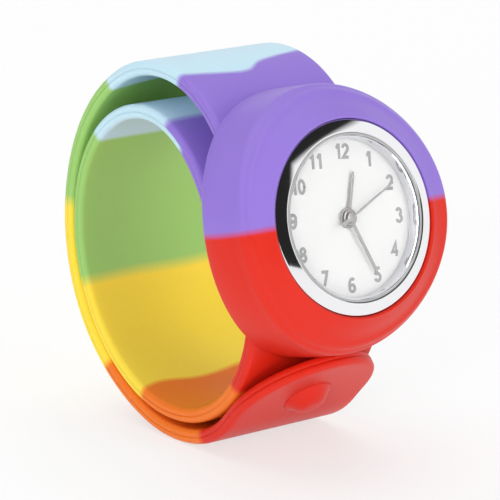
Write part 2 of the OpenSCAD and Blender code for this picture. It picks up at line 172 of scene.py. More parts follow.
def stripe_colour(tree):
    """The band's stripes along the attribute "stripe", each running a little into the next."""
    along = add(tree, "ShaderNodeAttribute", attribute_name="stripe")
    count = len(STRIPES)
    share = add(tree, "ShaderNodeMath", {1: count}, {0: along.outputs["Fac"]}, operation="DIVIDE")
    ramp = add(tree, "ShaderNodeValToRGB", None, {"Fac": share.outputs[0]})
    stops = [(0.0, STRIPES[0])]
    for i in range(1, count):
        stops += [(i - STRIPE_BLUR, STRIPES[i - 1]), (i + STRIPE_BLUR, STRIPES[i])]
    marks = ramp.color_ramp.elements
    marks.remove(marks[1])
    for i, (at, code) in enumerate(stops):
        mark = marks[0] if i == 0 else marks.new(at / count)
        mark.color = linear(code)
    return ramp.outputs["Color"]


# Satin moulded silicone: soft broad highlights, colour that glows a little at thin edges.
silicone = material("silicone_moulded", stripe_colour, 0.42, grain_mm=0.35, tone=0.03, bump=0.25,
                    extra={"Subsurface Weight": 0.08, "Subsurface Radius": (1.2 * MM, 0.8 * MM, 0.6 * MM),
                           "Subsurface Scale": 1.0, "Specular IOR Level": 0.32})
# Polished chrome plate: clear reflections of the studio.
chrome = material("chrome_polished", "#f2f2f4", 0.06, 1.0, grain_mm=2.0, tone=0.015)
# Mirror finish of the ring round the dial, which shows the numbers again.
mirror = material("chrome_mirror", "#dedee3", 0.015, 1.0, grain_mm=2.0, tone=0.01)
# Brushed steel of the case back, the quartz can and the cell: a soft grey gleam.
steel = material("steel_brushed", "#b9bbbf", 0.28, 1.0, grain_mm=0.3, tone=0.06, bump=0.15)
# White dial paint, dull and even.
dial_paint = material("dial_paint_white", "#fcfcfb", 0.5, grain_mm=0.2, tone=0.015, bump=0.05)
# Grey printed ink of the numbers, dull.
ink = material("ink_grey", "#b0b0b1", 0.55, grain_mm=0.1, tone=0.05)
# Grey lacquered hands with a faint sheen.
hand_paint = material("hand_lacquer_grey", "#a8a5a4", 0.35, 0.3, grain_mm=0.4, tone=0.04)
# Grey nylon of the crystal gasket, half dull.
nylon = material("nylon_grey", "#b2b3b2", 0.45, grain_mm=0.2, tone=0.05, bump=0.1)
# Clear coated crystal, with only a faint reflection.
glass = material("crystal_clear", "#ffffff", 0.012, grain_mm=3.0, tone=0.0,
                 extra={"Transmission Weight": 1.0, "IOR": 1.2})
# Sprung strip steel with a faint rolled grain.
spring_steel = material("spring_steel_rolled", "#a9adb3", 0.3, 1.0, grain_mm=0.5, tone=0.08, bump=0.2)
# Soft black rubber of the back gasket, dull.
rubber = material("rubber_black", "#1c1c1e", 0.7, grain_mm=0.2, tone=0.1, bump=0.2)
# Milky white moulded plastic of the spacer ring and the wheels, half dull.
plastic = material("plastic_white", "#e6e4dc", 0.45, grain_mm=0.3, tone=0.03, bump=0.1)
# Lapped brass of the movement plates: a warm soft gleam.
brass = material("brass_lapped", "#c9a24a", 0.3, 1.0, grain_mm=0.25, tone=0.08, bump=0.15)
# Turned steel of the stem, the setting lever and the screws, and of the stator and the cell's clip: bright.
fine_steel = material("steel_turned", "#c4c6ca", 0.2, 1.0, grain_mm=0.2, tone=0.05)
# Enamelled copper wire, a reddish gleam.
copper = material("copper_enamelled", "#b5622e", 0.3, 0.9, grain_mm=0.12, tone=0.12, bump=0.3)
# Green solder mask of the circuit board, half shiny.
board = material("board_green", "#1f6b3f", 0.4, grain_mm=0.3, tone=0.08, bump=0.1)


# Mesh helpers

# Points closer than this, in metres, become one.
WELD = 1e-7


def linked(name, data):
    """An object at the origin, in the scene."""
    made = bpy.data.objects.new(name, data)
    bpy.context.scene.collection.objects.link(made)
    return made


def mesh_object(name, points, faces, surface, smooth_below=35):
    """A mesh at the origin, welded, facing outward, smooth except at edges sharper than the angle."""
    mesh = bpy.data.meshes.new(name)
    mesh.from_pydata([tuple(p) for p in points], [], faces)
    work = bmesh.new()
    work.from_mesh(mesh)
    bmesh.ops.remove_doubles(work, verts=work.verts, dist=WELD)
    bmesh.ops.dissolve_degenerate(work, edges=work.edges, dist=WELD)
    bmesh.ops.recalc_face_normals(work, faces=work.faces)
    work.to_mesh(mesh)
    work.free()
    mesh.shade_smooth()
    mesh.set_sharp_from_angle(angle=math.radians(smooth_below))
    mesh.materials.append(surface)
    return linked(name, mesh)


def row_faces(rows, count, first=0, round_rows=False, round_points=True):
    """Faces between rows of points, the same count in each: rows and points may each close to a ring."""
    faces = []
    for i in range(rows if round_rows else rows - 1):
        near = first + i * count
        far = first + (i + 1) % rows * count
        for k in range(count if round_points else count - 1):
            m = (k + 1) % count
            faces.append((near + k, far + k, far + m, near + m))
    return faces


def round_turns(count):
    """Even turns round a circle, in radians."""
    return [2 * math.pi * i / count for i in range(count)]


def head_point(x, u, n):
    """A point in the head's own axes as a place in the scene."""
    return HEAD + (ACROSS * x + UP * u + OUT * n) * MM


def turned_points(profile, turns):
    """The points of a profile of radius and level, turned round the head's axis."""
    return [head_point(r * math.cos(a), r * math.sin(a), n) for a in round_turns(turns) for r, n in profile]


# A rounded corner takes up at most this share of the sides beside it.
CORNER_SHARE = 0.45


def eased(corners, radius, closed=True, steps=4):
    """A profile with its corners rounded by up to the radius."""
    done = []
    count = len(corners)
    for i, corner in enumerate(corners):
        here = Vector(corner)
        if not closed and i in (0, count - 1):
            done.append(here)
            continue
        before = Vector(corners[i - 1]) - here
        after = Vector(corners[(i + 1) % count]) - here
        reach = min(radius, before.length * CORNER_SHARE, after.length * CORNER_SHARE)
        first = here + before.normalized() * reach
        last = here + after.normalized() * reach
        for k in range(steps + 1):
            t = k / steps
            done.append(first.lerp(here, t).lerp(here.lerp(last, t), t))
    return done


def lathe(name, profile, surface, closed=True, turns=192):
    """A profile of radius and level, turned round the head's axis."""
    faces = row_faces(turns, len(profile), round_rows=True, round_points=closed)
    return mesh_object(name, turned_points(profile, turns), faces, surface)


# The band's path

def walked(place, length, turn):
    """The place and heading after a stretch of even curve, in the side view: forward, up and heading."""
    if length == 0:
        return place
    forward, up, heading = place
    radius = math.degrees(length / turn)
    a = math.radians(heading)
    b = math.radians(heading + turn)
    forward += radius * (math.sin(b) - math.sin(a))
    up -= radius * (math.cos(b) - math.cos(a))
    return forward, up, heading + turn


def band_point(s):
    """Where the middle line of the band is at s from the head, as a place in the scene."""
    way = 1 if s >= 0 else -1
    rows = OUTER_ROWS if s >= 0 else INNER_ROWS
    lean = math.radians(LEAN)
    place = (-BAND_DEPTH * math.cos(lean), -BAND_DEPTH * math.sin(lean), LEAN + 90 * way)
    left = abs(s)
    for i, (length, turn) in enumerate(rows):
        if left <= length or i == len(rows) - 1:
            place = walked(place, left, turn * left / length)
            break
        place = walked(place, length, turn)
        left -= length
    forward, up, _ = place
    return HEAD + Vector((0, -forward, up)) * MM


def fold_marks(rows):
    """How far from the middle of the head each fold lies, and last the arm's tip."""
    return list(accumulate(length for length, _ in rows))[1:]


def link_middles(folds):
    """The middles of an arm's links, the last at most where the round tip begins."""
    return [min((a + b) / 2, folds[-1] - END_REACH) for a, b in zip(folds, folds[1:])]


OUTER_FOLDS = fold_marks(OUTER_ROWS)
INNER_FOLDS = fold_marks(INNER_ROWS)
OUTER_TIP = OUTER_FOLDS[-1]
INNER_TIP = INNER_FOLDS[-1]
outer_middles = link_middles(OUTER_FOLDS)
inner_middles = link_middles(INNER_FOLDS)
seams = [-s for s in reversed(inner_middles)] + [-SEAT_END, SEAT_END] + outer_middles

# Where one stripe gives way to the next: pairs of x across the band and s along it.
EDGE = BAND_WIDE / 2
BORDERS = [
    [(-EDGE, -118.8), (-6, -118.6), (3, -119.6), (EDGE, -118.9)],
    [(-EDGE, -98.7), (-7, -98.9), (0, -98.9), (7, -99.6), (EDGE, -99.0)],
    [(-EDGE, -72.9), (-3, -73.1), (6, -72.9), (EDGE, -73.1)],
    [(-EDGE, -51.3), (-8.5, -52.1), (-1.4, -51.0), (7, -52.2), (EDGE, -53.2)],
    [(-EDGE, -25.0), (-5, -25.9), (4, -24.7), (EDGE, -25.4)],
    [(-EDGE, 0.0), (EDGE, 0.0)],
    [(-EDGE, 27.0), (-6, 26.0), (-0.6, 25.6), (3.2, 27.7), (EDGE, 29.4)],
    [(-EDGE, 46.3), (-9, 44.7), (-4, 43.0), (4, 42.2), (EDGE, 43.2)],
    [(-EDGE, 70.3), (-4, 71.6), (5, 70.9), (EDGE, 71.8)],
    [(-EDGE, 98.0), (-4, 99.0), (5, 97.8), (EDGE, 98.4)],
    [(-EDGE, 124.6), (-5, 126.0), (4, 125.0), (EDGE, 126.2)],
]
# The end stripes are counted to this far past the tips.
PAST_TIP = 20
# On the inner half of the mould the last light blue runs on towards the tip by this much.
INNER_HALF_RUN = 5.0


def border_at(border, x):
    """How far along the band a border lies at x across it, on a smooth curve through its points."""
    x = min(max(x, border[0][0]), border[-1][0])
    last = len(border) - 1
    i = max(k for k in range(last) if border[k][0] <= x)
    slopes = []
    for k in (i, i + 1):
        before = border[max(k - 1, 0)]
        after = border[min(k + 1, last)]
        slopes.append((after[1] - before[1]) / (after[0] - before[0]))
    (xa, sa), (xb, sb) = border[i], border[i + 1]
    wide = xb - xa
    t = (x - xa) / wide
    leaving = wide * slopes[0] * t * (1 - t) ** 2
    arriving = wide * slopes[1] * t * t * (t - 1)
    return sa + (sb - sa) * smooth_step(t) + leaving + arriving


def stripe_at(s, x, t):
    """The stripe count along the band: whole numbers are the borders between stripes."""
    marks = [-INNER_TIP - PAST_TIP] + [border_at(border, x) for border in BORDERS] + [OUTER_TIP + PAST_TIP]
    if t < 0:
        marks[1] -= INNER_HALF_RUN
    i = min(max(bisect.bisect_right(marks, s) - 1, 0), len(marks) - 2)
    return i + (s - marks[i]) / (marks[i + 1] - marks[i])


def stations_between(first, last, step):
    """Places along the band from first to last in even steps, every seam kept."""
    marks = [first] + [s for s in seams if first < s < last] + [last]
    done = [first]
    for a, b in zip(marks, marks[1:]):
        count = max(1, math.ceil((b - a) / step))
        done += [a + (b - a) * i / count for i in range(1, count + 1)]
    return done


# The band lying straight: s along it, x across it and t out of its middle layer

BAND_STEP = 0.8
EDGE_ROUND = 0.8
# The mould's parting line, a fine groove along both edges: half its mouth, half its floor and its depth.
LINE_MOUTH = 0.09
LINE_FLOOR = 0.05
LINE_DEEP = 0.12


def half_section():
    """Half of the band's section: the outer face from its middle, the edge, and the inner face."""
    columns = 11
    corner_steps = 5
    thick = BAND_THICK / 2
    flat = EDGE - EDGE_ROUND
    face = [(flat * i / columns, thick) for i in range(columns + 1)]
    for i in range(1, corner_steps + 1):
        a = math.radians(90 - 90 * i / corner_steps)
        face.append((flat + EDGE_ROUND * math.cos(a), thick - EDGE_ROUND + EDGE_ROUND * math.sin(a)))
    face += [(EDGE, LINE_MOUTH), (EDGE - LINE_DEEP, LINE_FLOOR)]
    return face + [(x, -t) for x, t in reversed(face)]


def flat_band():
    """The whole band with its round tips, as points and faces."""
    half = half_section()
    loop = half + [(-x, t) for x, t in reversed(half)]
    first = -INNER_TIP + END_REACH
    last = OUTER_TIP - END_REACH
    stations = stations_between(first, last, BAND_STEP)
    points = [(s, x, t) for s in stations for x, t in loop]
    faces = row_faces(len(stations), len(loop))
    tip_steps = 40
    for end, way in ((first, -1), (last, 1)):
        start = len(points)
        for i in range(tip_steps + 1):
            a = math.pi * i / tip_steps
            points += [(end + way * END_ROUND * x * math.sin(a), x * math.cos(a), t) for x, t in half]
        faces += row_faces(tip_steps + 1, len(half), start, round_points=False)
    return points, faces


# The finger nub on the outer tip: a bell-shaped dome, its foot sunk a little under the band's face.
NUB_HIGH = 2.0
NUB_ROUND = 3.1
NUB_STEEP = 4.0
NUB_FOOT = 4.1
NUB_SINK = 0.1
# How far its middle lies past the start of the round tip.
NUB_PAST = 1.6
NUB_MIDDLE = OUTER_TIP - END_REACH + NUB_PAST


def flat_nub():
    """The nub on the straight band, as points and faces."""
    turns = 48
    steps = 12
    radii = [NUB_FOOT * i / steps for i in range(steps)]
    dome = [(r, NUB_HIGH * math.exp(-(r / NUB_ROUND) ** NUB_STEEP)) for r in radii]
    dome += [(NUB_FOOT, -NUB_SINK), (0.0, -NUB_SINK)]
    points = []
    for a in round_turns(turns):
        points += [(NUB_MIDDLE + r * math.cos(a), r * math.sin(a), BAND_THICK / 2 + t) for r, t in dome]
    return points, row_faces(turns, len(dome), round_rows=True, round_points=False)


SPRING_WIDE = 20
SPRING_THICK = 0.25
SPRING_STEP = 1.2
# The steel strip ends this far short of the tips.
SPRING_SHORT_INNER = 12
SPRING_SHORT_OUTER = 13


def flat_spring():
    """The steel strip inside the straight band, as points and faces."""
    side = SPRING_WIDE / 2
    thick = SPRING_THICK / 2
    loop = [(-side, thick), (side, thick), (side, -thick), (-side, -thick)]
    first = -INNER_TIP + SPRING_SHORT_INNER
    last = OUTER_TIP - SPRING_SHORT_OUTER
    stations = stations_between(first, last, SPRING_STEP)
    points = [(s, x, t) for s in stations for x, t in loop]
    faces = row_faces(len(stations), len(loop))
    end = len(points)
    faces += [(0, 1, 2, 3), (end - 4, end - 3, end - 2, end - 1)]
    return points, faces


def along_path_tree():
    """Geometry Nodes that lay a straight strip along a path: x along it, y across it and z out of it."""
    tree = bpy.data.node_groups.new("strip_along_path", "GeometryNodeTree")
    sockets = (("Geometry", "Geometry"), ("Path", "Object"), ("Start", "Float"), ("Material", "Material"))
    for name, kind in sockets:
        tree.interface.new_socket(name, in_out="INPUT", socket_type="NodeSocket" + kind)
    tree.interface.new_socket("Geometry", in_out="OUTPUT", socket_type="NodeSocketGeometry")
    given = add(tree, "NodeGroupInput")
    path = add(tree, "GeometryNodeObjectInfo", None, {"Object": given.outputs["Path"]},
               transform_space="ORIGINAL")
    place = add(tree, "GeometryNodeInputPosition")
    flat = add(tree, "ShaderNodeSeparateXYZ", None, {"Vector": place.outputs[0]})
    length = add(tree, "ShaderNodeMath", None,
                 {0: flat.outputs["X"], 1: given.outputs["Start"]}, operation="ADD")
    sample = add(tree, "GeometryNodeSampleCurve", None,
                 {"Curves": path.outputs["Geometry"], "Length": length.outputs[0]},
                 mode="LENGTH", use_all_curves=True)
    out = add(tree, "ShaderNodeVectorMath", {0: ACROSS}, {1: sample.outputs["Tangent"]},
              operation="CROSS_PRODUCT")
    unit = add(tree, "ShaderNodeVectorMath", None, {0: out.outputs["Vector"]}, operation="NORMALIZE")
    lift = add(tree, "ShaderNodeVectorMath", None,
               {0: unit.outputs["Vector"], "Scale": flat.outputs["Z"]}, operation="SCALE")
    side = add(tree, "ShaderNodeCombineXYZ", None, {"X": flat.outputs["Y"]})
    raised = add(tree, "ShaderNodeVectorMath", None,
                 {0: sample.outputs["Position"], 1: lift.outputs["Vector"]}, operation="ADD")
    placed = add(tree, "ShaderNodeVectorMath", None,
                 {0: raised.outputs["Vector"], 1: side.outputs["Vector"]}, operation="ADD")
    moved = add(tree, "GeometryNodeSetPosition", None,
                {"Geometry": given.outputs["Geometry"], "Position": placed.outputs["Vector"]})
    solid = add(tree, "GeometryNodeRealizeInstances", None, {"Geometry": moved.outputs["Geometry"]})
    coated = add(tree, "GeometryNodeSetMaterial", None,
                 {"Geometry": solid.outputs["Geometry"], "Material": given.outputs["Material"]})
    add(tree, "NodeGroupOutput", None, {"Geometry": coated.outputs["Geometry"]})
    return tree


# The path runs on past both tips, with this many points to the mm.
PATH_PAST = 2
PATH_POINTS = 5


def path_object():
    """The band's middle layer as a curve, and how far along it, in metres, the middle of the head is."""
    start = -INNER_TIP - PATH_PAST
    stop = OUTER_TIP + PATH_PAST
    count = int((stop - start) * PATH_POINTS)
    line = bpy.data.curves.new("band_path", "CURVE")
    line.dimensions = "3D"
    spline = line.splines.new("POLY")
    spline.points.add(count)
    for i, point in enumerate(spline.points):
        point.co = (*band_point(start + (stop - start) * i / count), 1.0)
    return linked("band_path", line), -start * MM


def bent(name, flat, surface, tree, path, start):
    """A straight strip laid along the path: a mesh that keeps each point's place along it and its stripe."""
    points, faces = flat
    made = mesh_object(name, [Vector(p) * MM for p in points], faces, surface, smooth_below=60)
    mesh = made.data
    along = mesh.attributes.new("along", "FLOAT", "POINT")
    stripe = mesh.attributes.new("stripe", "FLOAT", "POINT")
    for i, vertex in enumerate(mesh.vertices):
        s, x, t = vertex.co / MM
        along.data[i].value = s
        stripe.data[i].value = stripe_at(s, x, t)
    modifier = made.modifiers.new("along_path", "NODES")
    modifier.node_group = tree
    sockets = {item.name: item.identifier for item in tree.interface.items_tree if item.in_out == "INPUT"}
    modifier[sockets["Path"]] = path
    modifier[sockets["Start"]] = start
    modifier[sockets["Material"]] = surface
    bpy.context.view_layer.update()
    graph = bpy.context.evaluated_depsgraph_get()
    ready = made.evaluated_get(graph)
    result = bpy.data.meshes.new_from_object(ready, preserve_all_data_layers=True, depsgraph=graph)
    made.modifiers.remove(modifier)
    bpy.data.objects.remove(made)
    return result


def open_rings(faces):
    """The loops of points along the open edges of a mesh, each turned so as to close it."""
    edges = {}
    for face in faces:
        for a, b in zip(face, face[1:] + face[:1]):
            if edges.pop((b, a), None) is None:
                edges[(a, b)] = True
    follow = {b: a for a, b in edges}
    rings = []
    while follow:
        first = next(iter(follow))
        ring = [first]
        step = follow.pop(first)
        while step != first:
            ring.append(step)
            step = follow.pop(step)
        rings.append(tuple(ring))
    return rings


def cut_piece(whole, name, low, high, surface):
    """The stretch of a bent strip between two seams, closed, with the whole strip's shading, or None."""
    along = [item.value for item in whole.attributes["along"].data]
    stripe = [item.value for item in whole.attributes["stripe"].data]
    chosen = []
    for face in whole.polygons:
        middle = sum(along[v] for v in face.vertices) / len(face.vertices)
        if low < middle < high:
            chosen.append(tuple(face.vertices))
    if not chosen:
        return None
    used = sorted({v for face in chosen for v in face})
    number = {v: i for i, v in enumerate(used)}
    faces = [tuple(number[v] for v in face) for face in chosen]
    faces += open_rings(faces)
    mesh = bpy.data.meshes.new(name)
    mesh.from_pydata([whole.vertices[v].co for v in used], [], faces)
    mesh.shade_smooth()
    marks = mesh.attributes.new("stripe", "FLOAT", "POINT")
    marks.data.foreach_set("value", [stripe[v] for v in used])
    mesh.normals_split_custom_set_from_vertices([whole.vertices[v].normal for v in used])
    mesh.materials.append(surface)
    return linked(name, mesh)


# The band and the spring in it, cut where the links are stiff

lay_tree = along_path_tree()
band_path, path_start = path_object()
band_whole = bent("band_strip", flat_band(), silicone, lay_tree, band_path, path_start)
spring_whole = bent("spring_strip", flat_spring(), spring_steel, lay_tree, band_path, path_start)
nub_whole = bent("nub_strip", flat_nub(), silicone, lay_tree, band_path, path_start)
bpy.data.objects.remove(band_path)

# The path is looked up this far inside a piece's two seams; nothing uses the places found.
BEND_INSET = 0.6


def lay_pieces(arm, middles, tip, sign):
    """The pieces of one arm, from the seat in the holder to the tip."""
    marks = [SEAT_END] + middles + [tip + PAST_TIP]
    inset = BEND_INSET * sign
    strips = (("band", band_whole, silicone), ("spring", spring_whole, spring_steel))
    for k in range(len(marks) - 1):
        near = marks[k] * sign
        far = marks[k + 1] * sign
        link = f"{arm}_{min(k + 1, len(middles))}"
        for kind, whole, surface in strips:
            piece = cut_piece(whole, f"{kind}_{arm}_{k + 1}", min(near, far), max(near, far), surface)
            if piece is None:
                continue
            if kind == "band":
                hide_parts(link)
            if k < len(middles):
                band_point(near + inset)
                band_point(far - inset)
                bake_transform(piece)
            else:
                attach(piece, link)


lay_pieces("outer", outer_middles, OUTER_TIP, 1)
lay_pieces("inner", inner_middles, INNER_TIP, -1)
nub = cut_piece(nub_whole, "band_nub", 0, OUTER_TIP, silicone)
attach(nub, "outer_11")
band_seat = cut_piece(band_whole, "band_seat", -SEAT_END, SEAT_END, silicone)
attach(band_seat, "holder")
spring_seat = cut_piece(spring_whole, "spring_seat", -SEAT_END, SEAT_END, spring_steel)
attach(spring_seat, "holder")
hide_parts("slap_spring")


# The holder ring, in radii and levels of the head's axes

# The pocket for the head: its floor, the bore round the case, the wider bore for the bezel, and small eases.
POCKET_FLOOR = -7.0
CASE_BORE = 12.7
BEZEL_BORE = 14.6
BORE_STEP = -2.72
FLOOR_EASE = 0.05
STEP_EASE = 0.02
# The notch for the crown, in the lower bore.
NOTCH_R = 15.2
NOTCH_FLOOR = -6.4
NOTCH_HALF_TURN = 6.6
# The lip round the bezel, and the shallow valley outside it.
LIP_R = 14.92
LIP_LEVEL = 0.12
LIP_ROUND = 0.38
VALLEY_START = 14.7
VALLEY_WIDE = 2.95
VALLEY_FALL = 0.8
VALLEY_DIP = 0.3
# The rounded shoulder from the valley to the outer wall, with a soft crease round it.
SHOULDER_R = 17.05
SHOULDER_LEVEL = -2.55
SHOULDER_ROUND = 2.4
SHOULDER_TURN = 72
CREASE_DEEP = 0.22
CREASE_AT = 38
CREASE_WIDE = 13
# The ring is taller than wide, flatter below and fuller on its left.
# Its shoulders bow back at top and bottom.
TALLER = 0.8
FLATTER_BELOW = 0.25
FULLER_LEFT = 0.45
BOW_DEEP = 3.0
BOW_REACH = 19
# The outer wall, its rounded foot and the back, which follows the band's curve.
RIM_R = 20.4
RIM_ROUND = 0.8
BACK_EDGE = 20.0
BACK_CURVE = 37.6
BACK_CURVE_MIDDLE = -46.8
WALL_STEPS = (0.15, 0.3, 0.5, 0.7, 0.85, 1.0)
RIM_TURNS = (22.5, 45, 67.5, 90)
BACK_RADII = (17.5, 14.5, 11.0, 7.0, 3.0, 0.0)


def ring_back(u):
    """How deep the back of the ring lies at height u on the dial."""
    return BACK_CURVE_MIDDLE + math.sqrt(BACK_CURVE ** 2 - u ** 2)


def pocket_profile():
    """The pocket's radii and levels from its middle to the bezel, and which two of them the notch moves."""
    inner = [(0.0, POCKET_FLOOR), (CASE_BORE - FLOOR_EASE, POCKET_FLOOR),
             (CASE_BORE, POCKET_FLOOR + FLOOR_EASE), (CASE_BORE, NOTCH_FLOOR)]
    notched = [(CASE_BORE, NOTCH_FLOOR + STEP_EASE), (CASE_BORE, BORE_STEP - STEP_EASE)]
    outer = [(CASE_BORE + STEP_EASE, BORE_STEP), (BEZEL_BORE - STEP_EASE, BORE_STEP),
             (BEZEL_BORE, BORE_STEP + STEP_EASE), (BEZEL_BORE, -FLOOR_EASE)]
    return inner + notched + outer, range(len(inner), len(inner) + len(notched))


def front_profile():
    """Radius, level and share of the bow, from the lip over the valley and the shoulder to the wall."""
    lip_steps = 6
    valley_steps = 6
    shoulder_steps = 18
    lip_start = 200
    lip_turn = 110
    done = []
    for i in range(lip_steps + 1):
        a = math.radians(lip_start - lip_turn * i / lip_steps)
        done.append((LIP_R + LIP_ROUND * math.cos(a), LIP_LEVEL + LIP_ROUND * math.sin(a), 0.0))
    for i in range(1, valley_steps + 1):
        t = i / valley_steps
        dip = VALLEY_FALL * t * t + VALLEY_DIP * math.sin(math.pi * t)
        done.append((VALLEY_START + VALLEY_WIDE * t, LIP_LEVEL + LIP_ROUND - dip, smooth_step(t)))
    for i in range(1, shoulder_steps + 1):
        turn = SHOULDER_TURN - SHOULDER_TURN * i / shoulder_steps
        a = math.radians(turn)
        reach = SHOULDER_ROUND - CREASE_DEEP * math.exp(-((turn - CREASE_AT) / CREASE_WIDE) ** 2)
        done.append((SHOULDER_R + reach * math.cos(a), SHOULDER_LEVEL + reach * math.sin(a), 1.0))
    return done


def ring_row(a, pocket, notched, front):
    """The ring's radii and levels at one turn round the head, in radians, from the pocket to the back."""
    clock = math.degrees(a) + DIAL_TURN
    in_notch = abs((clock + 180) % 360 - 180) < NOTCH_HALF_TURN
    row = [(NOTCH_R if in_notch and k in notched else r, n) for k, (r, n) in enumerate(pocket)]
    narrow = FLATTER_BELOW * max(0.0, -math.sin(a)) ** 2
    grow = TALLER * math.sin(a) ** 2 - narrow
    for r, n, bow in front:
        r += grow * bow
        row.append((r, n - bow * BOW_DEEP * (r * math.sin(a) / BOW_REACH) ** 2))
    edge_r, edge_n = row[-1]
    rim_r = RIM_R - narrow + FULLER_LEFT * max(0.0, -math.cos(a)) ** 2
    back = ring_back(BACK_EDGE * math.sin(a))
    foot = back + RIM_ROUND
    for t in WALL_STEPS:
        row.append((edge_r + (rim_r - edge_r) * math.sin(t * math.pi / 2), edge_n + (foot - edge_n) * t))
    for turn in RIM_TURNS:
        b = math.radians(turn)
        row.append((rim_r - RIM_ROUND + RIM_ROUND * math.cos(b), foot - RIM_ROUND * math.sin(b)))
    return row + [(r, ring_back(r * math.sin(a))) for r in BACK_RADII]


# The border of red and purple has this stripe count. It lies above the middle and rises on the wall.
RING_BORDER = 6
BORDER_AT = 0.65
BORDER_RISE = 0.2
RISE_FROM = -5
RISE_OVER = 4
# The ring's stripes count on over this height, up to a share that keeps to the two colours.
RING_STRIPE = 12
STRIPE_LIMIT = 0.9


def holder_ring():
    """The two-tone silicone ring, with a pocket for the head, a lip, and shoulders that bow back."""
    turns = 240
    pocket, notched = pocket_profile()
    front = front_profile()
    points = []
    for a in round_turns(turns):
        row = ring_row(a, pocket, notched, front)
        points += [head_point(r * math.cos(a), r * math.sin(a), n) for r, n in row]
    faces = row_faces(turns, len(points) // turns, round_rows=True, round_points=False)
    made = mesh_object("holder_ring", points, faces, silicone, smooth_below=40)
    marks = made.data.attributes.new("stripe", "FLOAT", "POINT")
    for i, vertex in enumerate(made.data.vertices):
        offset = (vertex.co - HEAD) / MM
        deep = min(max((RISE_FROM - offset.dot(OUT)) / RISE_OVER, 0.0), 1.0)
        above = offset.dot(UP) - BORDER_AT - BORDER_RISE * smooth_step(deep)
        marks.data[i].value = RING_BORDER + min(max(above / RING_STRIPE, -STRIPE_LIMIT), STRIPE_LIMIT)
    return made


ring = holder_ring()
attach(ring, "holder")
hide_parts("holder_upper", "holder_lower")


# The watch head, in radii and levels of its own axes: small offsets in the profiles are chamfers and drafts

BEZEL_R = 14.5
BEZEL_EDGE = 0.2
BEZEL_TOP = 0.74
BEZEL_BACK = -2.7
CRYSTAL_SEAT_R = 12.42
RING_SEAT_R = 12.72
RING_SEAT_TOP = 0.08
CASE_R = 12.6
CASE_BACK = -6.4
MOVEMENT_BORE = 11.6
MOVEMENT_TOP = -2.2
DIAL_TOP = -1.66
DIAL_BACK = -2.0
DIAL_HOLE = 0.9
CRYSTAL_R = 12.08
CRYSTAL_TOP = 0.7
CRYSTAL_BACK = 0.26
# The crystal's side narrows to the back by this much, so that the gasket shows through it.
CRYSTAL_TAPER = 0.13
GASKET_IN = 12.1
GASKET_OUT = 12.4
GASKET_TOP = 0.64
# The mirror ring's wall leans out a little from the dial to the crystal.
MIRROR_FOOT_R = 11.55
MIRROR_TOP_R = 11.72
MIRROR_FOOT = -1.62
MIRROR_TOP = 0.24


def on_head(piece, node):
    """Fixes a piece to the watch head in place of a solid."""
    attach(piece, "watch_head")
    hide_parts(node)


case_profile = [
    (BEZEL_R, BEZEL_EDGE), (CRYSTAL_SEAT_R + 0.2, BEZEL_TOP), (CRYSTAL_SEAT_R, BEZEL_TOP - 0.12),
    (CRYSTAL_SEAT_R, RING_SEAT_TOP + 0.02), (RING_SEAT_R, RING_SEAT_TOP), (RING_SEAT_R, DIAL_BACK),
    (MOVEMENT_BORE + 0.4, DIAL_BACK - 0.05), (MOVEMENT_BORE, MOVEMENT_TOP),
    (MOVEMENT_BORE, CASE_BACK + 0.1), (CASE_R, CASE_BACK), (CASE_R, BEZEL_BACK - 0.05),
    (BEZEL_R - 0.05, BEZEL_BACK), (BEZEL_R, BEZEL_BACK + 0.1),
]
case = lathe("watch_case_turned", eased(case_profile, 0.3, steps=6), chrome, turns=256)
on_head(case, "watch_case")

crystal_profile = [
    (0.0, CRYSTAL_BACK), (CRYSTAL_R - CRYSTAL_TAPER, CRYSTAL_BACK),
    (CRYSTAL_R - CRYSTAL_TAPER + 0.02, CRYSTAL_BACK + 0.02), (CRYSTAL_R, CRYSTAL_TOP - 0.08),
    (CRYSTAL_R - 0.1, CRYSTAL_TOP), (0.0, CRYSTAL_TOP),
]
crystal_rounded = eased(crystal_profile, 0.05, closed=False)
crystal = lathe("crystal_ground", crystal_rounded, glass, closed=False, turns=128)
on_head(crystal, "crystal")

gasket_profile = [(GASKET_IN, CRYSTAL_BACK), (GASKET_OUT, CRYSTAL_BACK), (GASKET_OUT, GASKET_TOP),
                  (GASKET_IN, GASKET_TOP)]
gasket = lathe("crystal_gasket_ring", eased(gasket_profile, 0.1), nylon)
on_head(gasket, "crystal_gasket")

mirror_profile = [
    (GASKET_OUT, MIRROR_TOP - 0.02), (MIRROR_TOP_R, MIRROR_TOP), (MIRROR_FOOT_R, MIRROR_FOOT),
    (RING_SEAT_R - 0.04, MIRROR_FOOT - 0.03), (RING_SEAT_R - 0.04, RING_SEAT_TOP - 0.04),
    (GASKET_OUT, RING_SEAT_TOP - 0.02),
]
mirror_ring = lathe("dial_ring_polished", eased(mirror_profile, 0.05), mirror, turns=256)
on_head(mirror_ring, "dial_ring")

dial_profile = [(DIAL_HOLE, DIAL_TOP), (CASE_R, DIAL_TOP), (CASE_R, DIAL_BACK), (DIAL_HOLE, DIAL_BACK)]
dial = lathe("dial_plate", dial_profile, dial_paint)
on_head(dial, "dial")


# The printed numbers

def arc(cx, cy, rx, ry, start, stop, steps=20):
    """Points of part of an ellipse."""
    turns = [math.radians(start + (stop - start) * i / steps) for i in range(steps + 1)]
    return [(cx + rx * math.cos(a), cy + ry * math.sin(a)) for a in turns]


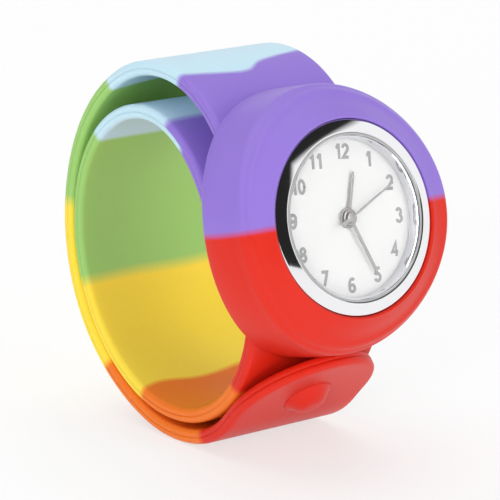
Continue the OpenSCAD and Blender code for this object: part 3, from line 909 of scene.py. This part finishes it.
def digit_strokes(digit):
    """The pen lines of a plain numeral one unit high."""
    six = [arc(0.29, 0.31, 0.21, 0.22, 0, 360), arc(0.33, 0.48, 0.25, 0.43, 55, 190)]
    strokes = {
        "0": [arc(0.29, 0.5, 0.21, 0.41, 0, 360, 28)],
        "1": [[(0.12, 0.72), (0.24, 0.78), (0.31, 0.97)], [(0.36, 0.0), (0.36, 1.0)]],
        "2": [arc(0.29, 0.67, 0.2, 0.24, 170, -30) + [(0.08, 0.09), (0.53, 0.09)]],
        "3": [arc(0.27, 0.71, 0.18, 0.2, 165, -85), arc(0.27, 0.29, 0.21, 0.22, 85, -165)],
        "4": [[(0.4, 0.0), (0.4, 0.9), (0.07, 0.29), (0.56, 0.29)]],
        "5": [[(0.5, 0.91), (0.17, 0.91), (0.12, 0.46)], arc(0.27, 0.32, 0.22, 0.24, 135, -160)],
        "6": six,
        "7": [[(0.06, 0.91), (0.51, 0.91), (0.24, 0.0)]],
        "8": [arc(0.29, 0.72, 0.17, 0.19, 0, 360), arc(0.29, 0.29, 0.21, 0.21, 0, 360)],
        "9": [[(0.58 - x, 1 - y) for x, y in line] for line in six],
    }
    return strokes[digit]


# A pen corner's mitre grows at most to the half width over this.
MITRE_LIMIT = 0.45


def pen_ribbon(line, half):
    """The two edges of a pen line of even width, with mitred corners."""
    closed = math.dist(line[0], line[-1]) < 1e-6
    edges = []
    for i, point in enumerate(line):
        before = line[i - 1] if i else (line[-2] if closed else None)
        after = line[i + 1] if i + 1 < len(line) else (line[1] if closed else None)
        ways = []
        if before:
            ways.append((Vector(point) - Vector(before)).normalized())
        if after:
            ways.append((Vector(after) - Vector(point)).normalized())
        way = sum(ways, Vector((0, 0))).normalized()
        side = Vector((-way.y, way.x))
        reach = half / max(MITRE_LIMIT, abs(side.dot(Vector((-ways[0].y, ways[0].x)))))
        edges.append((Vector(point) + side * reach, Vector(point) - side * reach))
    return edges


NUMBERS_R = 9.81
DIGIT_TALL = 2.25
# The step from digit to digit, as a share of their height, and the pen's width, on digits one unit high.
DIGIT_STEP = 0.6
PEN_WIDE = 0.21
# The ink's thickness and how far it stands off the dial, each later stroke a little higher.
INK_THICK = 0.02
INK_RISE = 0.015
STROKE_RISE = 0.004


def dial_numbers():
    """The twelve hours as one thin printed mesh, upright on the dial."""
    turn = math.radians(-DIAL_TURN)
    points, faces = [], []
    for hour in range(1, 13):
        digits = str(hour)
        a = math.radians(90 - 30 * hour)
        for place, digit in enumerate(digits):
            shift = DIGIT_STEP * (place - len(digits) / 2)
            for layer, line in enumerate(digit_strokes(digit)):
                start = len(points)
                edges = pen_ribbon(line, PEN_WIDE / 2)
                top = DIAL_TOP + INK_RISE + layer * STROKE_RISE
                low = top - INK_THICK
                for left, right in edges:
                    for corner, level in ((left, top), (right, top), (right, low), (left, low)):
                        x = (corner.x + shift) * DIGIT_TALL + NUMBERS_R * math.cos(a)
                        u = (corner.y - 0.5) * DIGIT_TALL + NUMBERS_R * math.sin(a)
                        points.append(head_point(x * math.cos(turn) - u * math.sin(turn),
                                                 x * math.sin(turn) + u * math.cos(turn), level))
                faces += row_faces(len(edges), 4, start)
                faces += [tuple(range(start, start + 4)), tuple(range(len(points) - 4, len(points)))]
    return mesh_object("dial_numbers", points, faces, ink)


numbers = dial_numbers()
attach(numbers, "watch_head")


# The hands

HAND_EASE = 0.05
HUB_DOME = 0.06
# A blade's half width is nowhere less than this.
HAND_LEAST = 0.01


def hand(name, body, angle, outline, hub, level, thick):
    """A flat hand with eased edges: a blade of half widths along its own length and a domed hub."""
    aim = math.radians(90 - angle - DIAL_TURN)
    along = Vector((math.cos(aim), math.sin(aim)))
    side = Vector((-along.y, along.x))
    rings = [(0.0, 0.0), (0.0, thick - HAND_EASE), (-HAND_EASE, thick)]
    loop = outline + [(y, -w) for y, w in reversed(outline)]
    points = []
    for grow, rise in rings:
        for y, w in loop:
            half = math.copysign(max(abs(w) + grow, HAND_LEAST), w)
            spot = along * y + side * half
            points.append(head_point(spot.x, spot.y, level + rise))
    count = len(loop)
    faces = row_faces(len(rings), count)
    faces += [tuple(range(count)), tuple(range(len(points) - count, len(points)))]
    turns = 40
    top = thick + HUB_DOME
    dome = [(0.0, 0.0), (hub, 0.0), (hub, thick - HAND_EASE), (hub - HAND_EASE, top - HAND_EASE),
            (hub / 2, top - 0.01), (0.0, top)]
    faces += row_faces(turns, len(dome), len(points), round_rows=True, round_points=False)
    points += turned_points([(r, level + n) for r, n in dome], turns)
    made = mesh_object(name + "_eased", points, faces, hand_paint, smooth_below=25)
    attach(made, body)
    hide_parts(name)


hand("hour_hand", "hour_train", angle=12.7, outline=[(-0.3, 0.34), (6.2, 0.27), (6.9, 0.08)],
     hub=1.45, level=-1.35, thick=0.16)
hand("minute_hand", "minute_train", angle=152.4, outline=[(-0.3, 0.28), (8.8, 0.23), (9.3, 0.1)],
     hub=1.2, level=-0.96, thick=0.16)
hand("second_hand", "second_train", angle=59.4,
     outline=[(-2.1, 0.42), (-0.8, 0.3), (0.6, 0.16), (9.5, 0.13)], hub=0.8, level=-0.52, thick=0.12)


# The parts kept as the frame gives them, each with the finish of its real material: the rest are plastic

finishes = {
    "case_back": steel, "quartz_can": steel, "button_cell": steel,
    "back_gasket": rubber,
    "main_plate": brass, "train_bridge": brass,
    "coil": copper,
    "circuit_board": board,
    "crown": chrome,
    "stator": fine_steel, "cell_clip": fine_steel, "stem": fine_steel, "setting_lever": fine_steel,
    "bridge_screws": fine_steel,
}
for name, obj in frame["nodes"].items():
    obj.data.materials.clear()
    obj.data.materials.append(finishes.get(name, plastic))


# Floor, light and camera

# How far the paper reaches to each side, in metres.
FLOOR_REACH = 3.0
# The paper's shadows are lightened as the photo's are: this share of what is seen of it is plain white.
FLOOR_LIFT = 0.66


def white_paper():
    """Matt white paper, partly plain white to whatever looks at it, its light on the part unchanged."""
    made = bpy.data.materials.new("paper_white")
    made.use_nodes = True
    tree = made.node_tree
    tree.nodes.clear()
    matt = add(tree, "ShaderNodeBsdfPrincipled",
               {"Base Color": linear("#fbfbfb"), "Roughness": 0.6, "Specular IOR Level": 0.2})
    bright = add(tree, "ShaderNodeEmission", {"Color": (1, 1, 1, 1), "Strength": 1.0})
    rays = add(tree, "ShaderNodeLightPath")
    looked_at = add(tree, "ShaderNodeMath", None,
                    {0: rays.outputs["Is Camera Ray"], 1: rays.outputs["Is Glossy Ray"]},
                    operation="MAXIMUM")
    any_look = add(tree, "ShaderNodeMath", None,
                   {0: looked_at.outputs[0], 1: rays.outputs["Is Transmission Ray"]}, operation="MAXIMUM")
    lift = add(tree, "ShaderNodeMath", {1: FLOOR_LIFT}, {0: any_look.outputs[0]}, operation="MULTIPLY")
    pale = add(tree, "ShaderNodeMixShader", None,
               {0: lift.outputs[0], 1: matt.outputs["BSDF"], 2: bright.outputs["Emission"]})
    add(tree, "ShaderNodeOutputMaterial", None, {"Surface": pale.outputs[0]})
    return made


def floor_sheet():
    """A flat sheet of paper under the part."""
    level = cad_box[0].z
    corners = [(-FLOOR_REACH, -FLOOR_REACH), (FLOOR_REACH, -FLOOR_REACH), (FLOOR_REACH, FLOOR_REACH),
               (-FLOOR_REACH, FLOOR_REACH)]
    mesh = bpy.data.meshes.new("floor")
    mesh.from_pydata([(x, y, level) for x, y in corners], [], [(0, 1, 2, 3)])
    mesh.materials.append(white_paper())
    return linked("floor", mesh)


floor_sheet()

# The cove's soft light, its plain white as the camera sees it, and the dark room's level.
SOFT_LEVEL = 0.42
WHITE_LEVEL = 1.0
DARK_LEVEL = 0.02
# The dark room is overhead and on the left: the z and the x of a direction where its edges start and end.
OVERHEAD_EDGE = (0.52, 0.57)
LEFT_EDGE = (0.21, 0.26)
# Light that comes through the crystal onto the dial is this share white, the rest soft.
DIAL_LIGHT = 0.35


def studio():
    """A white cove all round, and a dark room above and on the left that only glossy faces show."""
    made = bpy.data.worlds.new("studio")
    made.use_nodes = True
    tree = made.node_tree
    tree.nodes.clear()
    white = (1, 1, 1, 1)
    rays = add(tree, "ShaderNodeLightPath")
    direction = add(tree, "ShaderNodeTexCoord")
    way = add(tree, "ShaderNodeSeparateXYZ", None, {"Vector": direction.outputs["Generated"]})
    overhead = add(tree, "ShaderNodeMapRange",
                   {"From Min": OVERHEAD_EDGE[0], "From Max": OVERHEAD_EDGE[1],
                    "To Min": 1.0, "To Max": DARK_LEVEL},
                   {"Value": way.outputs["Z"]})
    leftward = add(tree, "ShaderNodeMapRange",
                   {"From Min": LEFT_EDGE[0], "From Max": LEFT_EDGE[1],
                    "To Min": DARK_LEVEL, "To Max": 1.0},
                   {"Value": way.outputs["X"]})
    room = add(tree, "ShaderNodeMath", None,
               {0: overhead.outputs["Result"], 1: leftward.outputs["Result"]}, operation="MINIMUM")
    # What is looked at through the crystal is white.
    # A ray that has left a dull face, such as the dial, counts less.
    share = add(tree, "ShaderNodeMapRange", {"To Min": 1.0, "To Max": DIAL_LIGHT},
                {"Value": rays.outputs["Diffuse Depth"]})
    through = add(tree, "ShaderNodeMath", None,
                  {0: rays.outputs["Is Transmission Ray"], 1: share.outputs["Result"]},
                  operation="MULTIPLY")
    seen = add(tree, "ShaderNodeMath", None,
               {0: rays.outputs["Is Camera Ray"], 1: through.outputs[0]}, operation="MAXIMUM")
    # A refracted ray counts as glossy too, so it is taken off again.
    mirrored = add(tree, "ShaderNodeMath", None,
                   {0: rays.outputs["Is Glossy Ray"], 1: rays.outputs["Is Transmission Ray"]},
                   operation="SUBTRACT", use_clamp=True)
    soft_cove = add(tree, "ShaderNodeBackground", {"Color": white, "Strength": SOFT_LEVEL})
    white_cove = add(tree, "ShaderNodeBackground", {"Color": white, "Strength": WHITE_LEVEL})
    dark_room = add(tree, "ShaderNodeBackground", {"Color": white}, {"Strength": room.outputs[0]})
    cove = add(tree, "ShaderNodeMixShader", None,
               {0: seen.outputs[0], 1: soft_cove.outputs[0], 2: white_cove.outputs[0]})
    every = add(tree, "ShaderNodeMixShader", None,
                {0: mirrored.outputs[0], 1: cove.outputs[0], 2: dark_room.outputs[0]})
    add(tree, "ShaderNodeOutputWorld", None, {"Surface": every.outputs[0]})
    return made


bpy.context.scene.world = studio()


def soft_sun(name, way, power, spread):
    """A wide soft light from a direction, even over the whole floor, which no mirror shows."""
    light = bpy.data.lights.new(name, "SUN")
    light.angle = math.radians(spread)
    light.energy = power
    made = linked(name, light)
    made.rotation_euler = Vector(way).to_track_quat("Z", "Y").to_euler()
    made.visible_glossy = False


soft_sun("key", (-0.5, -0.6, 0.75), power=0.2, spread=70)
soft_sun("top", (0.1, 0.35, 0.9), power=1.48, spread=70)
soft_sun("fill", (-0.8, -0.56, 0.2), power=1.42, spread=30)
soft_sun("side", (0.38, -0.9, 0.2), power=0.7, spread=20)

# The camera as worked out from the photo: direction, distance, and focal length in the picture's pixels.
CAMERA_AZIMUTH = -37.77
CAMERA_ELEVATION = 14.52
CAMERA_DISTANCE = 450
CLIP_START = 10
FOCAL_PIXELS = 3083
PICTURE_PIXELS = 500
SENSOR_WIDE = 36
# The picture's middle lies this far left of the head and below it.
VIEW_LEFT = 15.12
VIEW_BELOW = 4.74


def photo_camera():
    """The camera that sees the part as the photo does."""
    azimuth = math.radians(CAMERA_AZIMUTH)
    elevation = math.radians(CAMERA_ELEVATION)
    flat = math.cos(elevation)
    right = Vector((math.cos(azimuth), math.sin(azimuth), 0))
    back = Vector((math.sin(azimuth) * flat, -math.cos(azimuth) * flat, math.sin(elevation)))
    up = back.cross(right)
    data = bpy.data.cameras.new("camera")
    data.sensor_width = SENSOR_WIDE
    data.lens = SENSOR_WIDE * FOCAL_PIXELS / PICTURE_PIXELS
    data.clip_start = CLIP_START * MM
    target = HEAD - right * VIEW_LEFT * MM - up * VIEW_BELOW * MM
    made = linked("camera", data)
    turn = Matrix((right, up, back)).transposed().to_4x4()
    made.matrix_world = Matrix.Translation(target + back * CAMERA_DISTANCE * MM) @ turn
    return made


bpy.context.scene.camera = photo_camera()
bpy.context.scene.view_settings.view_transform = "Standard"
